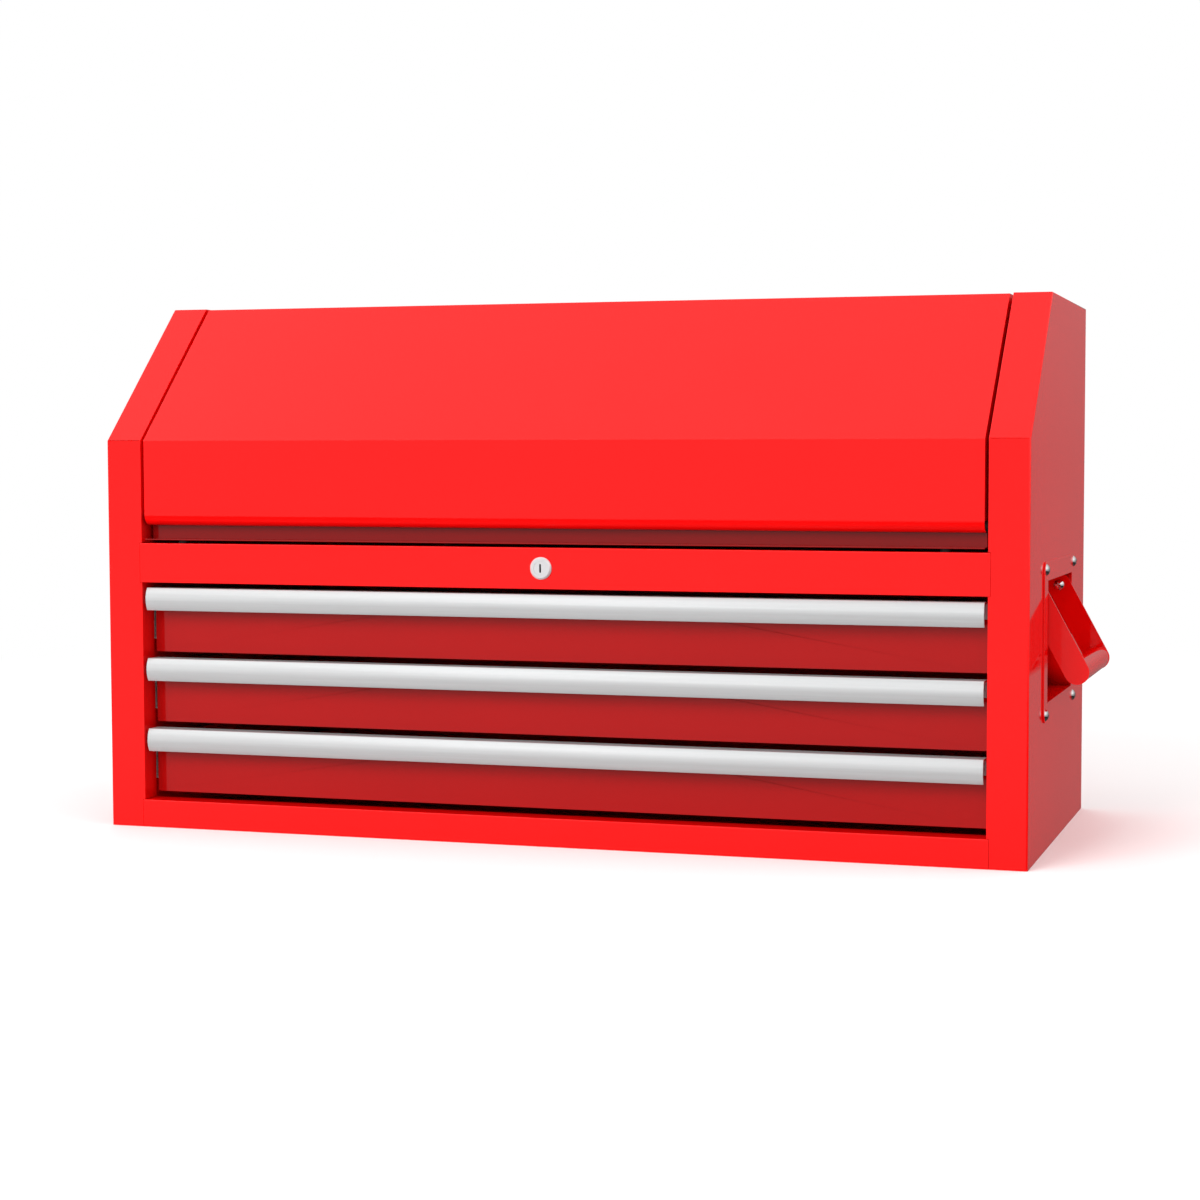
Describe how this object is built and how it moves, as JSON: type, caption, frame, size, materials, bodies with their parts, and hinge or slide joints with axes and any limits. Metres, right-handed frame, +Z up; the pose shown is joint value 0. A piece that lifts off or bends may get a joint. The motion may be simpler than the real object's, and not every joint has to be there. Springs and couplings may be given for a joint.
{
  "type": "tool chest",
  "caption": "Sheet-steel top tool chest with a sloping hinged lid over a till, full-width drawers on ball slides, a lock rail and folding side handles.",
  "frame": {"origin": "centre of the case footprint on the base plane that it stands on", "axes": "+X to the right seen from the front, along the chest's length; +Y towards the back; +Z up. The drawers face -Y"},
  "size_m": [0.9934, 0.3888, 0.5195],
  "materials": {
    "red_paint": "gloss powder coat, bright red",
    "drawer_paint": "gloss powder coat, deeper red",
    "aluminium": "satin anodised extrusion",
    "zinc_steel": "bright zinc plate",
    "chrome": "polished",
    "lock_face": "satin",
    "black_paint": "semi-gloss black",
    "rubber": "matt black",
    "nylon": "natural"
  },
  "bodies": {
    "case": {"back_panel": "red_paint", "back_screws": "zinc_steel", "bottom_panel": "red_paint", "bottom_rail": "red_paint", "handle_recess_left": "red_paint", "handle_recess_right": "red_paint", "hinge_case_leaf": "zinc_steel", "hinge_pin": "zinc_steel", "inner_wall_left": "red_paint", "inner_wall_right": "red_paint", "lid_bumpers": "rubber", "lock_bar_guides": "nylon", "lock_barrel": "chrome", "lock_nut": "zinc_steel", "lock_rail": "red_paint", "lock_rod_bracket": "zinc_steel", "pivot_screws": "chrome", "recess_screws": "chrome", "side_panel_left": "red_paint", "side_panel_right": "red_paint", "slide_outer_left": "zinc_steel", "slide_outer_right": "zinc_steel", "strut_stud_left": "zinc_steel", "strut_stud_right": "zinc_steel", "till_floor": "red_paint"},
    "lid": {"lid": "red_paint", "lid_channel": "red_paint", "hinge_lid_leaf": "zinc_steel", "strut_bracket_left": "zinc_steel", "strut_bracket_right": "zinc_steel"},
    "lock_rotor": {"lock_plug": "lock_face", "lock_rod": "zinc_steel", "lock_crank": "zinc_steel"},
    "lock_slider": {"lock_bar": "zinc_steel"},
    "strut_rod_left": {"strut_rod_left": "chrome"},
    "strut_cylinder_left": {"strut_cylinder_left": "black_paint"},
    "handle_left": {"handle_arms_left": "red_paint", "handle_grip_left": "red_paint"},
    "strut_rod_right": {"strut_rod_right": "chrome"},
    "strut_cylinder_right": {"strut_cylinder_right": "black_paint"},
    "handle_right": {"handle_arms_right": "red_paint", "handle_grip_right": "red_paint"},
    "drawer_top": {"drawer_box_top": "red_paint", "drawer_front_top": "drawer_paint", "drawer_pull_top": "aluminium", "pull_screws_top": "zinc_steel", "slide_inner_top": "zinc_steel"},
    "slide_mid_top": {"slide_mid_top": "zinc_steel"},
    "drawer_middle": {"drawer_box_middle": "red_paint", "drawer_front_middle": "drawer_paint", "drawer_pull_middle": "aluminium", "pull_screws_middle": "zinc_steel", "slide_inner_middle": "zinc_steel"},
    "slide_mid_middle": {"slide_mid_middle": "zinc_steel"},
    "drawer_bottom": {"drawer_box_bottom": "red_paint", "drawer_front_bottom": "drawer_paint", "drawer_pull_bottom": "aluminium", "pull_screws_bottom": "zinc_steel", "slide_inner_bottom": "zinc_steel"},
    "slide_mid_bottom": {"slide_mid_bottom": "zinc_steel"}
  },
  "joints": [
    {"name": "lid_hinge", "type": "hinge", "parent": "case", "child": "lid", "pos_m": [0, 0.1866, 0.5145], "axis": [-1, 0, 0], "range_deg": [0, 60]},
    {"name": "strut_pivot_left", "type": "hinge", "parent": "case", "child": "strut_rod_left", "pos_m": [-0.404, 0.148, 0.4], "axis": [-1, 0, 0], "range_deg": [0, 29.59]},
    {"name": "strut_stroke_left", "type": "slide", "parent": "strut_rod_left", "child": "strut_cylinder_left", "axis": [0, -0.6024, 0.7982], "range_m": [0, 0.0821]},
    {"name": "handle_pivot_left", "type": "hinge", "parent": "case", "child": "handle_left", "pos_m": [-0.4462, 0, 0.2395], "axis": [0, 1, 0], "range_deg": [-33.5, 65.5]},
    {"name": "strut_pivot_right", "type": "hinge", "parent": "case", "child": "strut_rod_right", "pos_m": [0.404, 0.148, 0.4], "axis": [-1, 0, 0], "range_deg": [0, 29.59]},
    {"name": "strut_stroke_right", "type": "slide", "parent": "strut_rod_right", "child": "strut_cylinder_right", "axis": [0, -0.6024, 0.7982], "range_m": [0, 0.0821]},
    {"name": "handle_pivot_right", "type": "hinge", "parent": "case", "child": "handle_right", "pos_m": [0.4462, 0, 0.2395], "axis": [0, -1, 0], "range_deg": [-33.5, 65.5]},
    {"name": "drawer_slide_top", "type": "slide", "parent": "case", "child": "drawer_top", "axis": [0, -1, 0], "range_m": [0, 0.3]},
    {"name": "slide_travel_top", "type": "slide", "parent": "case", "child": "slide_mid_top", "axis": [0, -1, 0], "range_m": [0, 0.15]},
    {"name": "drawer_slide_middle", "type": "slide", "parent": "case", "child": "drawer_middle", "axis": [0, -1, 0], "range_m": [0, 0.3]},
    {"name": "slide_travel_middle", "type": "slide", "parent": "case", "child": "slide_mid_middle", "axis": [0, -1, 0], "range_m": [0, 0.15]},
    {"name": "drawer_slide_bottom", "type": "slide", "parent": "case", "child": "drawer_bottom", "axis": [0, -1, 0], "range_m": [0, 0.3]},
    {"name": "slide_travel_bottom", "type": "slide", "parent": "case", "child": "slide_mid_bottom", "axis": [0, -1, 0], "range_m": [0, 0.15]},
    {"name": "lock_bar_lift", "type": "slide", "parent": "case", "child": "lock_slider", "axis": [0, 0, 1], "range_m": [0, 0.01414]},
    {"name": "lock_turn", "type": "hinge", "parent": "case", "child": "lock_rotor", "pos_m": [0, -0.192, 0.2624], "axis": [0, -1, 0], "range_deg": [0, 90.1]}
  ],
  "couplings": [
    {"joint": "strut_pivot_left", "follows": "lid_hinge", "ratio": 0.49227},
    {"joint": "strut_stroke_left", "follows": "lid_hinge", "m_per_rad": 0.078305},
    {"joint": "strut_pivot_right", "follows": "lid_hinge", "ratio": 0.49227},
    {"joint": "strut_stroke_right", "follows": "lid_hinge", "m_per_rad": 0.078305},
    {"joint": "slide_travel_top", "follows": "drawer_slide_top", "ratio": 0.5},
    {"joint": "slide_travel_middle", "follows": "drawer_slide_middle", "ratio": 0.5},
    {"joint": "slide_travel_bottom", "follows": "drawer_slide_bottom", "ratio": 0.5},
    {"joint": "lock_turn", "follows": "lock_bar_lift", "rad_per_m": 111.07}
  ]
}
